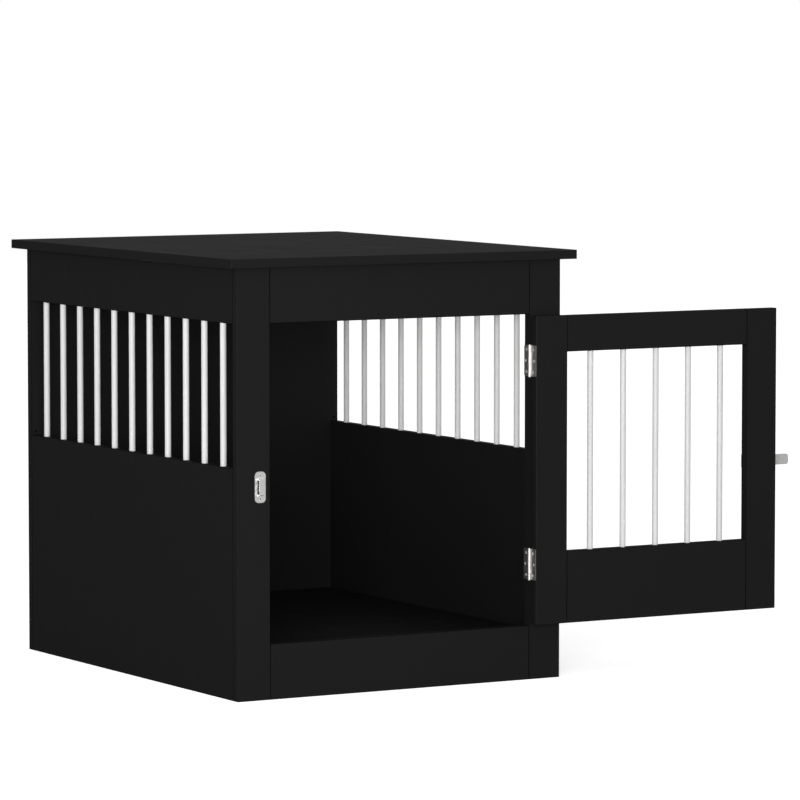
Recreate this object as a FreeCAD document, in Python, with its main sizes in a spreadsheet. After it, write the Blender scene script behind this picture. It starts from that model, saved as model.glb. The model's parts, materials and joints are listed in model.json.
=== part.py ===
import FreeCAD, Part
import operator
import os
from collections import namedtuple
from types import SimpleNamespace

import Sketcher

# Dog crate end table: a cabinet of laminated boards with barred windows, an inset barred door on two
# butt hinges, and a flat slide bolt. Millimetres, +Z up, +X to the right of someone facing the door,
# +Y towards the back. The origin is the centre of the underside of the front frame's bottom rail.
# The door stands open, turned half round on its hinges, and the bolt is out.

SIZES = {
    # cabinet and tabletop
    "cabinet_width": 605,
    "cabinet_depth": 765,
    "cabinet_height": 695,
    "board": 15,
    "top_board": 15,
    "top_overhang": 20,
    "arris": 0.6,
    # front frame, side panels and floor
    "stile_width": 59.5,
    "top_rail_height": 90,
    "bottom_rail_height": 90,
    "upper_panel_height": 90,
    "lower_panel_height": 374,
    "floor_level": 75,
    "pilot_hole": 5,
    "pilot_depth": 8,
    "pilot_rise": 5.7,
    # window bars; an end is from a window's end to the first bar's middle
    "bar_diameter": 10,
    "side_bars": 11,
    "side_bar_end": 45.5,
    "door_bars": 5,
    "door_bar_end": 49.2,
    "bar_seat": 14,
    "bar_fit": 0.1,
    "bar_play": 1,
    # door
    "hinge_gap": 3,
    "latch_gap": 7,
    "door_gap_above": 2.5,
    "door_gap_below": 2.5,
    "door_stile": 60,
    "door_top_rail": 60,
    "door_bottom_rail": 120,
    # butt hinges
    "hinge_length": 51,
    "hinge_drop": 74,
    "hinge_rise": 99.6,
    "leaf_margin": 0.5,
    "leaf_plate": 1.1,
    "leaf_corner": 1.5,
    "knuckle_radius": 3.65,
    "knuckles": 5,
    "knuckle_gap": 0.3,
    "leaf_relief": 0.35,
    "pin_diameter": 3.6,
    "pin_running_fit": 0.05,
    "pin_held_fit": 0.01,
    "pin_head": 5.4,
    "pin_head_height": 1.1,
    "hinge_screw_spread": 18.3,
    "hinge_screw_near": 6.9,
    "hinge_screw_far": 9.5,
    # countersunk screws of the hinges, the keeper and the bolt
    "screw_head": 5,
    "screw_shank": 3,
    "screw_length": 12,
    "screw_fit": 0.1,
    "recess_length": 3,
    "recess_width": 0.8,
    "recess_depth": 0.7,
    # slide bolt and keeper
    "bolt_height": 343.5,
    "bolt_travel": 34,
    "bolt_past_keeper": 2.2,
    "tongue_length": 66,
    "tongue_width": 17.8,
    "tongue_thickness": 3,
    "tongue_lift": 2,
    "tongue_corner": 4.5,
    "strap_thickness": 1.2,
    "strap_foot": 3,
    "strap_bend": 1,
    "keeper_width": 19.4,
    "keeper_flange": 10.5,
    "keeper_corner": 7,
    "keeper_plate": 1.2,
    "keeper_margin": 8.6,
    "keeper_strap": 9.6,
    "keeper_fit": 0.8,
    "keeper_play": 2.7,
    "keeper_screw_end": 6.3,
    "cover_length": 54,
    "cover_flange": 6.6,
    "cover_plate": 1.5,
    "cover_corner": 3,
    "cover_margin": 2,
    "cover_fit": 0.5,
    "cover_screw_end": 5,
    "knob_stem": 4,
    "knob_head": 10,
    "knob_height": 8,
    "knob_rim": 1,
    "knob_stand_off": 0.8,
    "stem_fit": 0.05,
    # cam locks and cam bolts
    "cam_diameter": 15,
    "cam_depth": 12,
    "cam_fit": 0.1,
    "cam_entry": 7.4,
    "cam_slot_length": 8,
    "cam_slot_width": 1.6,
    "cam_slot_depth": 2.5,
    "cam_setback": 24,
    "cam_bolt_bore": 8,
    "cam_bolt_thread": 6,
    "cam_bolt_thread_length": 11,
    "cam_bolt_shank": 6.4,
    "cam_bolt_neck": 4,
    "cam_bolt_neck_length": 4,
    "cam_bolt_head": 6.6,
    "cam_bolt_head_length": 3,
    "thread_fit": 0.05,
    # dowels
    "dowel_diameter": 6,
    "dowel_in_face": 10.5,
    "dowel_in_edge": 19.5,
    "dowel_fit": 0.05,
    "dowel_play": 0.5,
    "dowel_chamfer": 0.8,
    # confirmat screws of the back panel
    "confirmat_shank": 5,
    "confirmat_head": 9.6,
    "confirmat_length": 45,
    "confirmat_play": 1,
    # places of the joints: a rise is from a piece's foot, a drop from its head, an end from either
    # end, an edge from either edge and a side from the middle
    "upper_dowel_drop": 22,
    "lower_cam_rise": 110,
    "lower_cam_drop": 74,
    "lower_dowel_rise": 40,
    "lower_dowel_drop": 174,
    "top_cam_end": 120,
    "top_dowel_end": 200,
    "floor_cam_end": 150,
    "floor_dowel_end": 90,
    "rail_dowel_edge": 20,
    "rail_dowel_side": 120,
    "door_dowel_edge": 15,
    "confirmat_edge": 40,
    "confirmat_side": 150,
}

X_AXIS = FreeCAD.Vector(1, 0, 0)
Y_AXIS = FreeCAD.Vector(0, 1, 0)
Z_AXIS = FreeCAD.Vector(0, 0, 1)
FULL_TURN = 360
COUNTERSINK_ANGLE = 90
SIDES = {"left": -1, "right": 1}
MAX_NODES = 60

doc = FreeCAD.newDocument("dog_crate_end_table")
sheet = doc.addObject("Spreadsheet::Sheet", "Sizes")
for row, (alias, number) in enumerate(SIZES.items(), start=1):
    sheet.set(f"A{row}", alias)
    sheet.set(f"B{row}", str(number))
    sheet.setAlias(f"B{row}", alias)
doc.recompute()


# ------------------------------------------------------------------------------- sizes as formulas

class Size:
    """A size that carries its formula for the sheet together with its present number."""

    def __init__(self, formula, value):
        self.formula = formula
        self.value = value

    @staticmethod
    def of(thing):
        return thing if isinstance(thing, Size) else Size(str(thing), thing)

    def joined(self, other, sign, work):
        other = Size.of(other)
        return Size(f"({self.formula} {sign} {other.formula})", work(self.value, other.value))

    def __add__(self, other):
        return self.joined(other, "+", operator.add)

    def __sub__(self, other):
        return self.joined(other, "-", operator.sub)

    def __rsub__(self, other):
        return Size.of(other).joined(self, "-", operator.sub)

    def __mul__(self, other):
        return self.joined(other, "*", operator.mul)

    def __truediv__(self, other):
        return self.joined(other, "/", operator.truediv)

    def __neg__(self):
        return Size.of(0).joined(self, "-", operator.sub)

    __radd__ = __add__
    __rmul__ = __mul__


S = SimpleNamespace(**{alias: Size(f"Sizes.{alias}", sheet.get(alias)) for alias in SIZES})

LEFT = -S.cabinet_width / 2
RIGHT = S.cabinet_width / 2
FRONT = -S.board / 2
INNER_FRONT = FRONT + S.board
PANEL_LENGTH = S.cabinet_depth - 2 * S.board
INNER_BACK = INNER_FRONT + PANEL_LENGTH
BACK = FRONT + S.cabinet_depth
OPENING_WIDTH = S.cabinet_width - 2 * S.stile_width
OPENING_RIGHT = OPENING_WIDTH / 2
OPENING_TOP = S.cabinet_height - S.top_rail_height
SIDE_MIDDLE = RIGHT - S.board / 2
WINDOW_FOOT = S.lower_panel_height
WINDOW_HEAD = S.cabinet_height - S.upper_panel_height
FLOOR_MIDDLE = S.floor_level - S.board / 2

HINGE_X = OPENING_RIGHT - S.hinge_gap / 2
HINGE_Y = FRONT - S.knuckle_radius
DOOR_WIDTH = OPENING_WIDTH - S.hinge_gap - S.latch_gap
DOOR_FOOT = S.bottom_rail_height + S.door_gap_below
DOOR_HEIGHT = OPENING_TOP - S.door_gap_above - DOOR_FOOT
DOOR_HEAD = DOOR_FOOT + DOOR_HEIGHT
DOOR_FACE = FRONT - 2 * S.knuckle_radius
DOOR_FRONT = DOOR_FACE - S.board
DOOR_LEFT = OPENING_RIGHT
DOOR_RIGHT = DOOR_LEFT + DOOR_WIDTH
DOOR_RAIL = DOOR_WIDTH - 2 * S.door_stile
HINGE_HEIGHTS = {"upper": DOOR_HEAD - S.hinge_drop, "lower": DOOR_FOOT + S.hinge_rise}

KEEPER_X = -OPENING_RIGHT - S.keeper_margin - S.keeper_width / 2
COVER_X = DOOR_RIGHT - S.cover_margin - S.cover_length / 2
CLOSED_COVER_X = 2 * HINGE_X - COVER_X
TONGUE_TIP = KEEPER_X - S.keeper_width / 2 - S.bolt_past_keeper - CLOSED_COVER_X
TONGUE_TOP = S.tongue_lift + S.tongue_thickness
KNOB_X = -S.bolt_travel / 2

nodes = []


# ------------------------------------------------------------------------- sketches and features

def bind(thing, prop, size):
    """Ties a property to a size's formula."""
    thing.setExpression(prop, Size.of(size).formula)


def place(thing, spot):
    """Ties an object's position to three sizes."""
    for axis, size in zip("xyz", spot):
        bind(thing, f".Placement.Base.{axis}", size)


def turn(thing, rotation):
    thing.Placement = FreeCAD.Placement(FreeCAD.Vector(), rotation)


def new_body(node):
    body = doc.addObject("PartDesign::Body", node)
    body.Label = node
    return body


def keep(thing):
    """Counts an object as one of the table's pieces."""
    nodes.append(thing)
    return thing


def sketch_on(body, role, name, offset=0):
    """Makes a sketch on one of the body's own planes, moved along the plane's normal."""
    sketch = body.newObject("Sketcher::SketchObject", name)
    plane = next(f for f in body.Origin.OriginFeatures if f.Role == role)
    sketch.AttachmentSupport = [(plane, "")]
    sketch.MapMode = "FlatFace"
    bind(sketch, ".AttachmentOffset.Base.z", offset)
    return sketch


def dimension(sketch, kind, where, size):
    index = sketch.addConstraint(Sketcher.Constraint(kind, *where, Size.of(size).value))
    sketch.renameConstraint(index, f"size_{index}")
    bind(sketch, f"Constraints.size_{index}", size)


def fix_point(sketch, geometry, end, spot):
    """Holds a point at two sizes from the sketch's origin, or on an axis where a size is nought."""
    for kind, axis, size in (("DistanceX", -2, spot[0]), ("DistanceY", -1, spot[1])):
        if isinstance(size, Size):
            dimension(sketch, kind, (-1, 1, geometry, end), size)
        else:
            sketch.addConstraint(Sketcher.Constraint("PointOnObject", geometry, end, axis))


def at(spot):
    return FreeCAD.Vector(Size.of(spot[0]).value, Size.of(spot[1]).value, 0)


def polygon(sketch, corners):
    """Draws a closed outline through its corners, each a pair of sizes or 0."""
    count = len(corners)
    first = sketch.GeometryCount
    for i, corner in enumerate(corners):
        sketch.addGeometry(Part.LineSegment(at(corner), at(corners[(i + 1) % count])), False)
    for i, corner in enumerate(corners):
        joint = (first + (i - 1) % count, 2, first + i, 1)
        sketch.addConstraint(Sketcher.Constraint("Coincident", *joint))
        fix_point(sketch, first + i, 1, corner)


def rectangle(sketch, low, high):
    polygon(sketch, [low, (high[0], low[1]), high, (low[0], high[1])])


def circle(sketch, spot, diameter):
    index = sketch.addGeometry(Part.Circle(at(spot), Z_AXIS, Size.of(diameter).value / 2), False)
    fix_point(sketch, index, 3, spot)
    dimension(sketch, "Diameter", (index,), diameter)


def pad(body, sketch, length):
    feature = body.newObject("PartDesign::Pad", f"{sketch.Name}_pad")
    feature.Profile = sketch
    bind(feature, "Length", length)
    doc.recompute()
    return feature


def cut(body, sketch, depth, backwards, least=0.4):
    """Sinks a sketch into a body and checks that it took away about what it covers."""
    doc.recompute()
    covered = sum(Part.Face(wire).Area for wire in sketch.Shape.Wires) * Size.of(depth).value
    before = body.Shape.Volume
    feature = body.newObject("PartDesign::Pocket", f"{sketch.Name}_cut")
    feature.Profile = sketch
    feature.Reversed = backwards
    bind(feature, "Length", depth)
    doc.recompute()
    if before - body.Shape.Volume < least * covered:
        raise ValueError(f"{sketch.Name} takes too little away")
    return feature


def spin(body, sketch):
    """Turns a half outline about the sketch's upright axis."""
    feature = body.newObject("PartDesign::Revolution", f"{sketch.Name}_turned")
    feature.Profile = sketch
    feature.ReferenceAxis = (sketch, ["V_Axis"])
    feature.Angle = FULL_TURN
    doc.recompute()


def edge_names(shape, direction, test):
    """Names the straight edges along a direction whose middles pass a test."""
    names = []
    for index, edge in enumerate(shape.Edges, start=1):
        if edge.Curve.TypeId != "Part::GeomLine":
            continue
        if edge.tangentAt(edge.FirstParameter).cross(direction).Length < 1e-6 and test(edge.CenterOfMass):
            names.append(f"Edge{index}")
    return names


def round_edges(body, base, direction, test, radius):
    names = edge_names(base.Shape, direction, test)
    if not names:
        raise ValueError(f"{body.Name} has no such edge")
    feature = body.newObject("PartDesign::Fillet", f"{base.Name}_round")
    feature.Base = (base, names)
    bind(feature, "Radius", radius)
    doc.recompute()


def countersink(body, sketch, backwards, bore, head, depth):
    """Drills a countersunk hole at each circle of a sketch."""
    doc.recompute()
    before = body.Shape.Volume
    feature = body.newObject("PartDesign::Hole", f"{sketch.Name}_sunk")
    feature.Profile = sketch
    doc.recompute()
    feature.Threaded = False
    feature.ThreadType = 0
    feature.Reversed = backwards
    bind(feature, "Diameter", bore)
    feature.DepthType = "Dimension"
    bind(feature, "Depth", depth)
    feature.HoleCutType = "Countersink"
    bind(feature, "HoleCutDiameter", head)
    feature.HoleCutCountersinkAngle = COUNTERSINK_ANGLE
    feature.DrillPoint = "Flat"
    doc.recompute()
    if body.Shape.Volume >= before:
        raise ValueError(f"{sketch.Name} takes nothing away")


# ----------------------------------------------------------------------------------------- boards

# A board's face: its sketch plane, the axis of its normal, whether it is the far face of the two on
# that axis, and whether a pocket sunk from it runs backwards, along the plane's own normal.
Face = namedtuple("Face", "plane axis far backwards")
FACES = {
    "bottom": Face("XY_Plane", 2, False, True),
    "top": Face("XY_Plane", 2, True, False),
    "front": Face("XZ_Plane", 1, False, False),
    "back": Face("XZ_Plane", 1, True, True),
    "left": Face("YZ_Plane", 0, False, True),
    "right": Face("YZ_Plane", 0, True, False),
}


class Board:
    """A board cut square with its arrises broken, which can be drilled from any face."""

    def __init__(self, node, corner, size):
        self.node = node
        self.corner = corner
        self.size = size
        self.holes = 0
        self.body = keep(new_body(node))
        outline = sketch_on(self.body, "XY_Plane", f"{node}_outline")
        rectangle(outline, (0, 0), size[:2])
        blank = pad(self.body, outline, size[2])
        arris = self.body.newObject("PartDesign::Chamfer", f"{node}_arris")
        arris.Base = (blank, [""])
        arris.UseAllEdges = True
        bind(arris, "Size", S.arris)
        place(self.body, corner)
        doc.recompute()

    def end(self, axis):
        return self.corner[axis] + self.size[axis]

    def middle(self, axis):
        return self.corner[axis] + self.size[axis] / 2

    def level(self, face):
        """Gives where a face lies along its own normal."""
        axis = FACES[face].axis
        return self.end(axis) if FACES[face].far else self.corner[axis]

    def outward(self, face):
        direction = [0, 0, 0]
        direction[FACES[face].axis] = 1 if FACES[face].far else -1
        return FreeCAD.Vector(*direction)

    def hole_sketch(self, face, spots, diameter):
        """Draws circles on a face, at places given in the table's frame."""
        plane, axis, far, _ = FACES[face]
        away = self.size[axis] if far else 0
        self.holes += 1
        name = f"{self.node}_holes_{self.holes}"
        sketch = sketch_on(self.body, plane, name, -away if plane == "XZ_Plane" else away)
        for spot in spots:
            circle(sketch, [spot[i] - self.corner[i] for i in range(3) if i != axis], diameter)
        return sketch

    def drill(self, face, spots, diameter, depth):
        sketch = self.hole_sketch(face, spots, diameter)
        cut(self.body, sketch, depth, FACES[face].backwards)

    def drill_row(self, face, spot, row_axis, count, pitch, diameter, depth):
        """Drills the first hole of a row and repeats it along the row's axis."""
        sketch = self.hole_sketch(face, [spot], diameter)
        first = cut(self.body, sketch, depth, FACES[face].backwards)
        before = self.body.Shape.Volume
        row_of_holes = self.body.newObject("PartDesign::LinearPattern", f"{sketch.Name}_row")
        row_of_holes.Originals = [first]
        row_of_holes.Direction = (sketch, ["H_Axis" if row_axis == 0 else "V_Axis"])
        bind(row_of_holes, "Length", pitch * (count - 1))
        bind(row_of_holes, "Occurrences", count)
        self.body.Tip = row_of_holes
        doc.recompute()
        if self.body.Shape.Volume >= before:
            raise ValueError(f"{sketch.Name} has no row")

    def sink(self, face, spots, bore, head, depth):
        sketch = self.hole_sketch(face, spots, bore)
        countersink(self.body, sketch, FACES[face].backwards, bore, head, depth)


# ------------------------------------------------------------------------- fasteners of the joints

seats = {"carcass_dowels": [], "door_dowels": [], "cam_locks": [], "cam_bolts": [],
         "back_panel_screws": [], "carcass_screws": [], "door_screws": []}


def shifted(spot, direction, distance):
    """Moves a place along a unit direction by a size."""
    return tuple(size + int(step) * distance if step else size for size, step in zip(spot, direction))


def pointing(direction):
    return FreeCAD.Rotation(Z_AXIS, direction)


def dowel_joint(group, edge_board, edge_face, face_board, face_face, spots):
    """Drills both boards of a joint and seats a dowel at each place."""
    into_edge = -edge_board.outward(edge_face)
    hole = S.dowel_diameter + 2 * S.dowel_fit
    edge_board.drill(edge_face, spots, hole, S.dowel_in_edge + S.dowel_play)
    face_board.drill(face_face, spots, hole, S.dowel_in_face + S.dowel_play)
    seats[group] += [(spot, pointing(into_edge)) for spot in spots]


def cam_joint(edge_board, edge_face, cam_face, face_board, face_face, spots):
    """Drills a joint for cam bolts, bores the cams' seats and puts a bolt and a cam at each place."""
    into_edge = -edge_board.outward(edge_face)
    outward = edge_board.outward(cam_face)
    centres = [shifted(spot, into_edge, S.cam_setback) for spot in spots]
    bore = S.cam_diameter + 2 * S.cam_fit
    edge_board.drill(cam_face, centres, bore, S.cam_depth + S.cam_fit)
    head_end = S.cam_setback + S.cam_bolt_head_length / 2
    edge_board.drill(edge_face, spots, S.cam_bolt_bore, head_end + S.cam_fit)
    thread = S.cam_bolt_thread + 2 * S.thread_fit
    face_board.drill(face_face, spots, thread, S.cam_bolt_thread_length + S.thread_fit)
    axis = FACES[cam_face].axis
    towards_joint = -into_edge
    rotation = FreeCAD.Rotation(towards_joint, outward.cross(towards_joint), outward, "ZXY")
    for spot, centre in zip(spots, centres):
        on_face = [edge_board.level(cam_face) if i == axis else centre[i] for i in range(3)]
        seats["cam_locks"].append((on_face, rotation))
        seats["cam_bolts"].append((spot, pointing(into_edge)))


def link_group(node, master):
    """Puts a copy of one master piece at each of a group's seats and keeps them as one node."""
    links = []
    for index, (spot, rotation) in enumerate(seats[node], start=1):
        link = doc.addObject("App::Link", f"{node}_{index}")
        link.LinkedObject = master
        link.Placement = FreeCAD.Placement(FreeCAD.Vector(), rotation)
        place(link, spot)
        links.append(link)
    group = doc.addObject("Part::Compound", node)
    group.Label = node
    group.Links = links
    doc.recompute()
    return keep(group)


# ---------------------------------------------------------------------------------------- cabinet

def make_cabinet():
    """Makes the eleven boards of the cabinet and everything that joins them."""
    inner_width = S.cabinet_width - 2 * S.board
    over = S.top_overhang
    tabletop = Board("tabletop", (LEFT - over, FRONT - over, S.cabinet_height),
                     (S.cabinet_width + 2 * over, S.cabinet_depth + 2 * over, S.top_board))
    back = Board("back_panel", (LEFT, INNER_BACK, Size.of(0)),
                 (S.cabinet_width, S.board, S.cabinet_height))
    floor = Board("floor_panel", (LEFT + S.board, INNER_FRONT, S.floor_level - S.board),
                  (inner_width, PANEL_LENGTH, S.board))
    stiles = {
        "left": Board("front_left_stile", (LEFT, FRONT, Size.of(0)),
                      (S.stile_width, S.board, S.cabinet_height)),
        "right": Board("front_right_stile", (OPENING_RIGHT, FRONT, Size.of(0)),
                       (S.stile_width, S.board, S.cabinet_height)),
    }
    top_rail = Board("front_top_rail", (-OPENING_RIGHT, FRONT, OPENING_TOP),
                     (OPENING_WIDTH, S.board, S.top_rail_height))
    bottom_rail = Board("front_bottom_rail", (-OPENING_RIGHT, FRONT, Size.of(0)),
                        (OPENING_WIDTH, S.board, S.bottom_rail_height))
    for side, sign in SIDES.items():
        upper, lower = make_side(side, sign)
        join_side(side, sign, upper, lower, stiles[side], tabletop, floor, back)
        join_rail(side, sign, top_rail, stiles[side])
        join_rail(side, sign, bottom_rail, stiles[side])
    signs = SIDES.values()
    dowel_joint("carcass_dowels", top_rail, "top", tabletop, "bottom",
                [(sign * S.rail_dowel_side, top_rail.middle(1), S.cabinet_height) for sign in signs])
    dowel_joint("carcass_dowels", floor, "front", bottom_rail, "back",
                [(sign * S.rail_dowel_side, INNER_FRONT, FLOOR_MIDDLE) for sign in signs])
    fix_back(back, floor, [(sign * S.confirmat_side, BACK, FLOOR_MIDDLE) for sign in signs])
    pilots = [(sign * SIDE_MIDDLE, INNER_BACK, WINDOW_FOOT + S.pilot_rise) for sign in signs]
    back.drill("front", pilots, S.pilot_hole, S.pilot_depth)
    return stiles


def make_side(side, sign):
    """Makes a side's two panels and its row of bars."""
    x = LEFT if sign < 0 else RIGHT - S.board
    upper = Board(f"{side}_upper_panel", (x, INNER_FRONT, WINDOW_HEAD),
                  (S.board, PANEL_LENGTH, S.upper_panel_height))
    lower = Board(f"{side}_lower_panel", (x, INNER_FRONT, Size.of(0)),
                  (S.board, PANEL_LENGTH, S.lower_panel_height))
    bar_row(f"{side}_bar", lower, upper, 1, S.side_bars, S.side_bar_end)
    return upper, lower


def bar_row(name, below, above, row_axis, count, end):
    """Drills two boards for a row of bars along an axis and stands the bars in the holes."""
    hole = S.bar_diameter + 2 * S.bar_fit
    foot, head = below.level("top"), above.level("bottom")
    pitch = (below.size[row_axis] - 2 * end) / (count - 1)
    first = [below.middle(0), below.middle(1)]
    first[row_axis] = below.corner[row_axis] + end
    below.drill_row("top", (*first, foot), row_axis, count, pitch, hole, S.bar_seat)
    above.drill_row("bottom", (*first, head), row_axis, count, pitch, hole, S.bar_seat)
    for index in range(int(count.value)):
        bar = keep(doc.addObject("Part::Cylinder", f"{name}_{index + 1:02d}"))
        bar.Label = bar.Name
        bind(bar, "Radius", S.bar_diameter / 2)
        bind(bar, "Height", head - foot + 2 * S.bar_seat - S.bar_play)
        spot = [*first, foot - S.bar_seat]
        spot[row_axis] = first[row_axis] + index * pitch
        place(bar, spot)


def join_side(side, sign, upper, lower, stile, tabletop, floor, back):
    """Joins one side's panels to the front frame, the tabletop, the floor and the back."""
    inner_face = "right" if sign < 0 else "left"
    x = sign * SIDE_MIDDLE
    cam_joint(lower, "front", inner_face, stile, "back",
              [(x, INNER_FRONT, z) for z in (S.lower_cam_rise, WINDOW_FOOT - S.lower_cam_drop)])
    dowel_joint("carcass_dowels", lower, "front", stile, "back",
                [(x, INNER_FRONT, z) for z in (S.lower_dowel_rise, WINDOW_FOOT - S.lower_dowel_drop)])
    cam_joint(upper, "front", inner_face, stile, "back", [(x, INNER_FRONT, upper.middle(2))])
    dowel_joint("carcass_dowels", upper, "front", stile, "back",
                [(x, INNER_FRONT, S.cabinet_height - S.upper_dowel_drop)])
    cam_joint(upper, "top", inner_face, tabletop, "bottom",
              [(x, y, S.cabinet_height) for y in both_ends(S.top_cam_end)])
    dowel_joint("carcass_dowels", upper, "top", tabletop, "bottom",
                [(x, y, S.cabinet_height) for y in both_ends(S.top_dowel_end)])
    edge_x = sign * (RIGHT - S.board)
    cam_joint(floor, side, "bottom", lower, inner_face,
              [(edge_x, y, FLOOR_MIDDLE) for y in both_ends(S.floor_cam_end)])
    dowel_joint("carcass_dowels", floor, side, lower, inner_face,
                [(edge_x, y, FLOOR_MIDDLE) for y in both_ends(S.floor_dowel_end)])
    fix_back(back, lower, [(x, BACK, z) for z in (S.confirmat_edge, WINDOW_FOOT - S.confirmat_edge)])
    fix_back(back, upper, [(x, BACK, upper.middle(2))])


def both_ends(end):
    """Gives the two places along a side that lie one distance from its ends."""
    return INNER_FRONT + end, INNER_BACK - end


def join_rail(side, sign, rail, stile):
    """Joins one end of a front rail to its stile."""
    x, y = sign * OPENING_RIGHT, rail.middle(1)
    towards_rail = "right" if sign < 0 else "left"
    cam_joint(rail, side, "back", stile, towards_rail, [(x, y, rail.middle(2))])
    heights = (rail.corner[2] + S.rail_dowel_edge, rail.end(2) - S.rail_dowel_edge)
    dowel_joint("carcass_dowels", rail, side, stile, towards_rail, [(x, y, z) for z in heights])


def fix_back(back, board, spots):
    """Screws the back panel to a board's rear edge."""
    bore = S.confirmat_shank + 2 * S.screw_fit
    back.sink("back", spots, bore, S.confirmat_head + 2 * S.screw_fit, S.board)
    board.drill("back", spots, bore, S.confirmat_length - S.board + S.confirmat_play)
    seats["back_panel_screws"] += [(spot, pointing(Y_AXIS)) for spot in spots]


# ------------------------------------------------------------------------------------------- door

def make_door():
    """Makes the door's frame and bars, in the open position."""
    stile_size = (S.door_stile, S.board, DOOR_HEIGHT)
    hinge_stile = Board("door_hinge_stile", (DOOR_LEFT, DOOR_FRONT, DOOR_FOOT), stile_size)
    latch_x = DOOR_RIGHT - S.door_stile
    latch_stile = Board("door_latch_stile", (latch_x, DOOR_FRONT, DOOR_FOOT), stile_size)
    rail_x = DOOR_LEFT + S.door_stile
    top_rail = Board("door_top_rail", (rail_x, DOOR_FRONT, DOOR_HEAD - S.door_top_rail),
                     (DOOR_RAIL, S.board, S.door_top_rail))
    bottom_rail = Board("door_bottom_rail", (rail_x, DOOR_FRONT, DOOR_FOOT),
                        (DOOR_RAIL, S.board, S.door_bottom_rail))
    bar_row("door_bar", bottom_rail, top_rail, 0, S.door_bars, S.door_bar_end)
    for rail in (top_rail, bottom_rail):
        heights = (rail.corner[2] + S.door_dowel_edge, rail.end(2) - S.door_dowel_edge)
        for end, stile, face in (("left", hinge_stile, "right"), ("right", latch_stile, "left")):
            spots = [(rail.level(end), rail.middle(1), z) for z in heights]
            dowel_joint("door_dowels", rail, end, stile, face, spots)
    return hinge_stile, latch_stile


# ----------------------------------------------------------------------------------------- hinges

def make_leaf(node, height, first_knuckle, on_door):
    """Makes a hinge leaf about its pin's axis; the door's leaf is turned over about X."""
    body = keep(new_body(node))
    half = S.hinge_length / 2
    outer_face, wood_face = S.hinge_gap / 2 - S.leaf_plate, S.hinge_gap / 2
    reach = S.knuckle_radius + S.board - S.leaf_margin
    plate = sketch_on(body, "XY_Plane", f"{node}_plate", -half)
    rectangle(plate, (outer_face, 0), (wood_face, reach))
    blank = pad(body, plate, S.hinge_length)
    round_edges(body, blank, X_AXIS, lambda middle: middle.y > reach.value / 2, S.leaf_corner)
    barrel = sketch_on(body, "XY_Plane", f"{node}_barrel", -half)
    circle(barrel, (0, 0), 2 * S.knuckle_radius)
    pad(body, barrel, S.hinge_length)
    clear_knuckles(body, node, first_knuckle)
    fit = S.pin_running_fit if on_door else S.pin_held_fit
    bore = sketch_on(body, "XY_Plane", f"{node}_bore", half)
    circle(bore, (0, 0), S.pin_diameter + 2 * fit)
    cut(body, bore, S.hinge_length, False, least=0.2)
    holes = sketch_on(body, "YZ_Plane", f"{node}_screw_holes", outer_face)
    for y, z in leaf_screws():
        circle(holes, (y, z), S.screw_shank + 2 * S.screw_fit)
    countersink(body, holes, True, S.screw_shank + 2 * S.screw_fit,
                S.screw_head + 2 * S.screw_fit, S.leaf_plate + S.screw_fit)
    turn(body, FreeCAD.Rotation(X_AXIS, FULL_TURN / 2 if on_door else 0))
    place(body, (HINGE_X, HINGE_Y, height))


def clear_knuckles(body, node, first_knuckle):
    """Cuts away the other leaf's stretches of the barrel, with the plate behind them."""
    pitch = S.hinge_length / S.knuckles
    side = S.knuckle_radius + S.leaf_relief
    relief = sketch_on(body, "YZ_Plane", f"{node}_relief", -side)
    for index in range(1 - first_knuckle, int(S.knuckles.value), 2):
        low = index * pitch - S.hinge_length / 2 - S.knuckle_gap / 2
        rectangle(relief, (-side, low), (side, low + pitch + S.knuckle_gap))
    cut(body, relief, 2 * side, True)


def leaf_screws():
    """Gives a leaf's three screw places as sizes from the pin's axis and the leaf's middle."""
    near = S.knuckle_radius + S.hinge_screw_near
    far = S.knuckle_radius + S.hinge_screw_far
    return [(near, -S.hinge_screw_spread), (far, 0), (near, S.hinge_screw_spread)]


def make_pin(node, height):
    body = keep(new_body(node))
    half = S.hinge_length / 2
    end = half + S.pin_head_height
    shank, head = S.pin_diameter / 2, S.pin_head / 2
    outline = sketch_on(body, "XZ_Plane", f"{node}_outline")
    polygon(outline, [(0, -end), (head, -end), (head, -half), (shank, -half),
                      (shank, half), (head, half), (head, end), (0, end)])
    spin(body, outline)
    place(body, (HINGE_X, HINGE_Y, height))


def make_hinges(frame_stile, door_stile):
    """Makes both hinges and their screws into the two stiles."""
    screw_x = OPENING_RIGHT - S.leaf_plate
    for name, height in HINGE_HEIGHTS.items():
        make_leaf(f"{name}_hinge_frame_leaf", height, 0, False)
        make_leaf(f"{name}_hinge_door_leaf", height, 1, True)
        make_pin(f"{name}_hinge_pin", height)
        for stile, group, way in ((frame_stile, "carcass_screws", 1), (door_stile, "door_screws", -1)):
            spots = [(screw_x, HINGE_Y + way * y, height + z) for y, z in leaf_screws()]
            fasten(stile, "left", group, spots, -X_AXIS)


def fasten(board, face, group, spots, outward):
    """Drills a board for small screws and seats a screw at each place."""
    hole = S.screw_shank + 2 * S.screw_fit
    board.drill(face, spots, hole, S.screw_length)
    seats[group] += [(spot, pointing(outward)) for spot in spots]


# ---------------------------------------------------------------------------------- slide bolt

def add_strap(body, length, half, lift, plate):
    """Raises a strap over a plate, open at both ends, standing out along the body's -Y."""
    crown = half + S.strap_thickness
    foot = half + S.strap_foot
    root, top = -plate / 2, -(lift + S.strap_thickness)
    arch = sketch_on(body, "YZ_Plane", f"{body.Name}_arch", -length / 2)
    polygon(arch, [(root, -foot), (top, -crown), (top, crown), (root, foot),
                   (root, half), (-lift, half), (-lift, -half), (root, -half)])
    strap = pad(body, arch, length)
    bends_from = -(lift + S.strap_thickness / 2)
    round_edges(body, strap, X_AXIS, lambda middle: middle.y < bends_from.value, S.strap_bend)


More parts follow.
